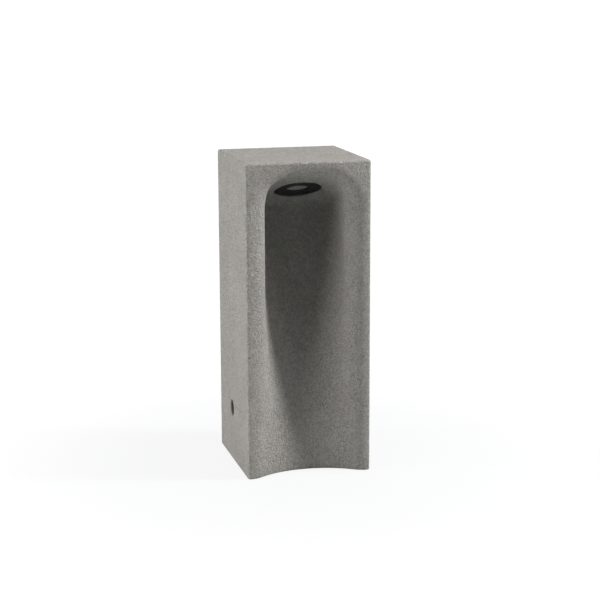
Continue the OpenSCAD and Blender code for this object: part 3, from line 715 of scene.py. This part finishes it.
def plastic(name, colour, roughness=0.45, texture=0.25 * MM):
    """Moulded plastic with a spark-eroded texture and a few rubbed places."""
    m = Shader(name, roughness=roughness)
    worn = m.span(m.noise(11 * MM, 5), 0.55, 0.8, 0.0, 0.6)
    m.set("Base Color", m.mix(worn, colour, tuple(c * 1.35 + 0.006 for c in colour)))
    m.set("Roughness", m.span(m.noise(4 * MM, 4), 0.3, 0.7, roughness - 0.1, roughness + 0.1))
    m.set("Normal", m.bump(m.noise(texture, 2), 0.02 * MM))
    return m.material


def metal(name, colour, roughness, grain=0.2 * MM, stretch=None, dull=0.12):
    """Bare metal with tool or roll marks drawn out along an axis, and dull patches."""
    m = Shader(name, roughness=roughness, metallic=1.0)
    marks = m.noise(grain, 3, stretch)
    patches = m.span(m.noise(9 * MM, 4), 0.35, 0.7)
    m.set("Base Color", m.shaded(colour, m.calc("SUBTRACT", 1.0, m.calc("MULTIPLY", patches, dull))))
    m.set("Roughness", m.calc("ADD", m.span(marks, 0.3, 0.7, roughness - 0.08, roughness + 0.08),
                              m.calc("MULTIPLY", patches, dull)))
    m.set("Normal", m.bump(marks, 0.012 * MM))
    return m.material


def galvanised():
    """Hot-dip zinc: flat crystals, each of its own brightness, with a chalky bloom."""
    m = Shader("galvanised_steel", roughness=0.4, metallic=1.0)
    # The sum turns each cell's random colour into one number
    crystal = m.calc("ADD", m.cells(7 * MM, "Color"), 0.0)
    bloom = m.span(m.noise(16 * MM, 5), 0.45, 0.75)
    m.set("Base Color", m.shaded((0.62, 0.64, 0.65), m.span(crystal, 0, 1, 0.78, 1.08)))
    m.set("Roughness", m.calc("ADD", m.span(crystal, 0, 1, 0.3, 0.46), m.calc("MULTIPLY", bloom, 0.14)))
    m.set("Normal", m.bump(m.noise(1.2 * MM, 3), 0.02 * MM))
    return m.material


def circuit_board(name, mask, track):
    """Solder mask over copper tracks that run square to each other and show in a shade of their own."""
    m = Shader(name, roughness=0.3)
    along_z = m.span(m.noise(2.2 * MM, 0, (1, 1, 0.12)), 0.5, 0.52)
    along_x = m.span(m.noise(2.2 * MM, 0, (0.12, 1, 1)), 0.53, 0.55)
    tracks = m.calc("MAXIMUM", along_z, along_x)
    m.set("Base Color", m.mix(tracks, mask, track))
    m.set("Coat Weight", 0.3)
    m.set("Normal", m.bump(tracks, 0.03 * MM))
    return m.material


def phosphor():
    """Yellow phosphor gel over a chip, with a granular surface."""
    m = Shader("led_phosphor", roughness=0.5)
    grains = m.noise(0.25 * MM, 3)
    m.set("Base Color", m.mix(grains, (0.72, 0.47, 0.06), (0.92, 0.72, 0.2)))
    m.set("Normal", m.bump(grains, 0.03 * MM))
    return m.material


def winding():
    """Enamelled copper wire wound side by side about the Y axis."""
    m = Shader("copper_winding", roughness=0.32, metallic=0.9)
    turns = m.node("ShaderNodeTexWave", bands_direction="Y")
    m.feed(turns.inputs["Vector"], m.place)
    about_a_millimetre_apart = 1 / (math.pi * MM)
    turns.inputs["Scale"].default_value = about_a_millimetre_apart
    turns.inputs["Distortion"].default_value = 0.4
    m.set("Base Color", m.mix(turns.outputs[0], (0.2, 0.06, 0.02), (0.6, 0.25, 0.1)))
    m.set("Coat Weight", 0.5)
    m.set("Normal", m.bump(turns.outputs[0], 0.2 * MM))
    return m.material


def earth_sheath():
    """Green cable sheath with yellow stripes drawn out along Z."""
    m = Shader("earth_sheath", roughness=0.38)
    stripe = m.span(m.noise(1.6 * MM, 0, (1, 1, 0.02)), 0.5, 0.54)
    m.set("Base Color", m.mix(stripe, (0.06, 0.3, 0.05), (0.75, 0.62, 0.05)))
    m.set("Normal", m.bump(m.noise(0.6 * MM, 2), 0.01 * MM))
    return m.material


FINISHES = {
    "concrete": concrete,
    "black_metal": powder_coat,
    "frosted_glass": frosted_glass,
    "silicone": lambda: rubber("silicone", (0.03, 0.03, 0.03), 0.6),
    "reflector": lambda: metal("polished_reflector", (0.86, 0.86, 0.86), 0.12, 0.1 * MM, (1, 1, 8), 0.05),
    "phosphor": phosphor,
    "white_board": lambda: circuit_board("white_board", (0.8, 0.8, 0.77), (0.74, 0.74, 0.7)),
    "thermal_pad": lambda: rubber("thermal_pad", (0.26, 0.36, 0.45), 0.8),
    "black_aluminium": lambda: metal("black_anodised", (0.05, 0.05, 0.053), 0.42, 0.15 * MM),
    "spring_steel": lambda: metal("spring_steel", (0.55, 0.54, 0.52), 0.3, 0.2 * MM, (1, 1, 0.1)),
    "stainless": lambda: metal("stainless_steel", (0.63, 0.62, 0.6), 0.28, 0.12 * MM, (6, 1, 1)),
    "zinc_steel": galvanised,
    "brass": lambda: metal("turned_brass", (0.68, 0.48, 0.2), 0.3, 0.12 * MM, (6, 1, 1), 0.2),
    "gold_pin": lambda: metal("gold_plate", (0.85, 0.62, 0.25), 0.2, 0.1 * MM, (1, 1, 6), 0.06),
    "black_plastic": lambda: plastic("black_plastic", (0.018, 0.018, 0.02)),
    "grey_plastic": lambda: plastic("grey_plastic", (0.3, 0.31, 0.32), 0.4),
    "cable_rubber": lambda: rubber("cable_sheath", (0.014, 0.014, 0.014), 0.6),
    "earth_wire": earth_sheath,
    "tin_lug": lambda: metal("tinned_copper", (0.66, 0.67, 0.66), 0.34, 0.3 * MM, None, 0.18),
    "green_board": lambda: circuit_board("green_board", (0.01, 0.11, 0.035), (0.03, 0.2, 0.07)),
    "copper_coil": winding,
    "capacitor": lambda: plastic("capacitor_sleeve", (0.015, 0.03, 0.11), 0.3, 0.6 * MM),
}

made_finishes = {}


def finish(slot):
    """The material of a slot, made when it's first asked for."""
    if slot not in made_finishes:
        made_finishes[slot] = FINISHES[slot]()
    return made_finishes[slot]


def dress(obj, slot):
    """Gives an object the finish of a slot as its only material."""
    obj.data.materials.clear()
    obj.data.materials.append(finish(slot))


# --------------------------------------------------------------------------------------------------
# Stage, lights and camera


def studio_floor():
    """A wide pale floor that the camera sees almost burnt out near the block, and white further away."""
    half = 40.0
    level = -0.1 * MM
    near_block = 0.12
    open_floor = 0.42
    mesh = bpy.data.meshes.new("floor")
    corners = [(-half, -half, level), (half, -half, level), (half, half, level), (-half, half, level)]
    mesh.from_pydata(corners, [], [(0, 1, 2, 3)])
    floor = bpy.data.objects.new("floor", mesh)
    bpy.context.scene.collection.objects.link(floor)
    m = Shader("pale_floor", roughness=0.9)
    m.set("Base Color", (0.40, 0.42, 0.42))
    glow = m.node("ShaderNodeEmission")
    just_over_white = 1.04
    glow.inputs["Strength"].default_value = just_over_white
    away = m.node("ShaderNodeVectorMath", operation="LENGTH")
    m.feed(away.inputs[0], m.place)
    burnt_out = m.span(away.outputs["Value"], near_block, open_floor, 0.84, 1.0)
    seen = m.node("ShaderNodeLightPath").outputs["Is Camera Ray"]
    blend = m.node("ShaderNodeMixShader")
    share = m.calc("MULTIPLY", seen, burnt_out)
    for socket, value in zip(blend.inputs, (share, m.surface.outputs[0], glow.outputs[0])):
        m.tree.links.new(value, socket)
    m.tree.links.new(blend.outputs[0], m.tree.nodes["Material Output"].inputs["Surface"])
    mesh.materials.append(m.material)


def soft_box(name, azimuth, elevation, distance, width, height, power):
    """Flat lamp turned to the middle of the block. Azimuth 0 is in front of it and 90 on its +X side."""
    a = math.radians(azimuth)
    e = math.radians(elevation)
    towards = Vector((math.sin(a) * math.cos(e), -math.cos(a) * math.cos(e), math.sin(e)))
    data = bpy.data.lights.new(name, "AREA")
    data.shape = "RECTANGLE"
    data.size = width
    data.size_y = height
    data.energy = power
    lamp = bpy.data.objects.new(name, data)
    lamp.location = Vector((0, 0, TOP / 2)) + towards * distance
    lamp.rotation_mode = "QUATERNION"
    lamp.rotation_quaternion = towards.to_track_quat("Z", "Y")
    bpy.context.scene.collection.objects.link(lamp)


def surround(strength):
    """A faint even light from all around, which the camera sees as white."""
    world = bpy.data.worlds.new("surround")
    world.use_nodes = True
    tree = world.node_tree
    background = tree.nodes["Background"]
    background.inputs["Strength"].default_value = strength
    white = tree.nodes.new("ShaderNodeBackground")
    rays = tree.nodes.new("ShaderNodeLightPath")
    mix = tree.nodes.new("ShaderNodeMixShader")
    tree.links.new(rays.outputs["Is Camera Ray"], mix.inputs[0])
    tree.links.new(background.outputs[0], mix.inputs[1])
    tree.links.new(white.outputs[0], mix.inputs[2])
    tree.links.new(mix.outputs[0], tree.nodes["World Output"].inputs["Surface"])
    background.inputs["Color"].default_value = (1, 1, 1, 1)
    white.inputs["Color"].default_value = (1, 1, 1, 1)
    bpy.context.scene.world = world


def camera(place, yaw, pitch, roll, lens):
    """A camera at a place, turned from +Y to the right, up, and about its own axis, in degrees."""
    data = bpy.data.cameras.new("camera")
    data.lens = lens
    data.clip_start = 0.05
    obj = bpy.data.objects.new("camera", data)
    turn = Matrix.Rotation(math.radians(-yaw), 4, "Z") @ Matrix.Rotation(math.radians(90 + pitch), 4, "X")
    obj.matrix_world = Matrix.Translation(place) @ turn @ Matrix.Rotation(math.radians(roll), 4, "Z")
    bpy.context.scene.collection.objects.link(obj)
    bpy.context.scene.camera = obj


# --------------------------------------------------------------------------------------------------
# Build

slot_of = {part["node"]: part["material_slot"] for part in frame["record"]["subparts"]}

for node_name, node_object in frame["nodes"].items():
    dress(node_object, slot_of[node_name])

for build, node_name, body in (
    (stone_block, "concrete_body", "block"),
    (bezel, "bezel_ring", "lamp"),
    (lens_disc, "lens", "lamp"),
):
    piece = build()
    dress(piece, slot_of[node_name])
    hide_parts(node_name)
    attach(piece, body)

studio_floor()
surround(0.012)
# Name, azimuth and elevation, distance, width and height, power
soft_box("left_front_box", -69, 8, 2.0, 0.8, 0.5, 20)
soft_box("left_box", -92, 8, 2.0, 0.3, 0.5, 20.5)
soft_box("key", 72.5, 30, 2.0, 0.25, 0.4, 49)
soft_box("right_front_box", 60, 30, 2.0, 0.5, 0.5, 3.4)
soft_box("top_box", 0, 89, 2.0, 1.2, 1.2, 24)
soft_box("back_top_box", 180, 45, 2.0, 0.6, 0.6, 4.8)
camera(place=Vector((-0.3748, -1.4802, 0.4780)), yaw=14.47, pitch=-11.84, roll=-0.22, lens=96.4)
bpy.context.scene.view_settings.view_transform = "Standard"
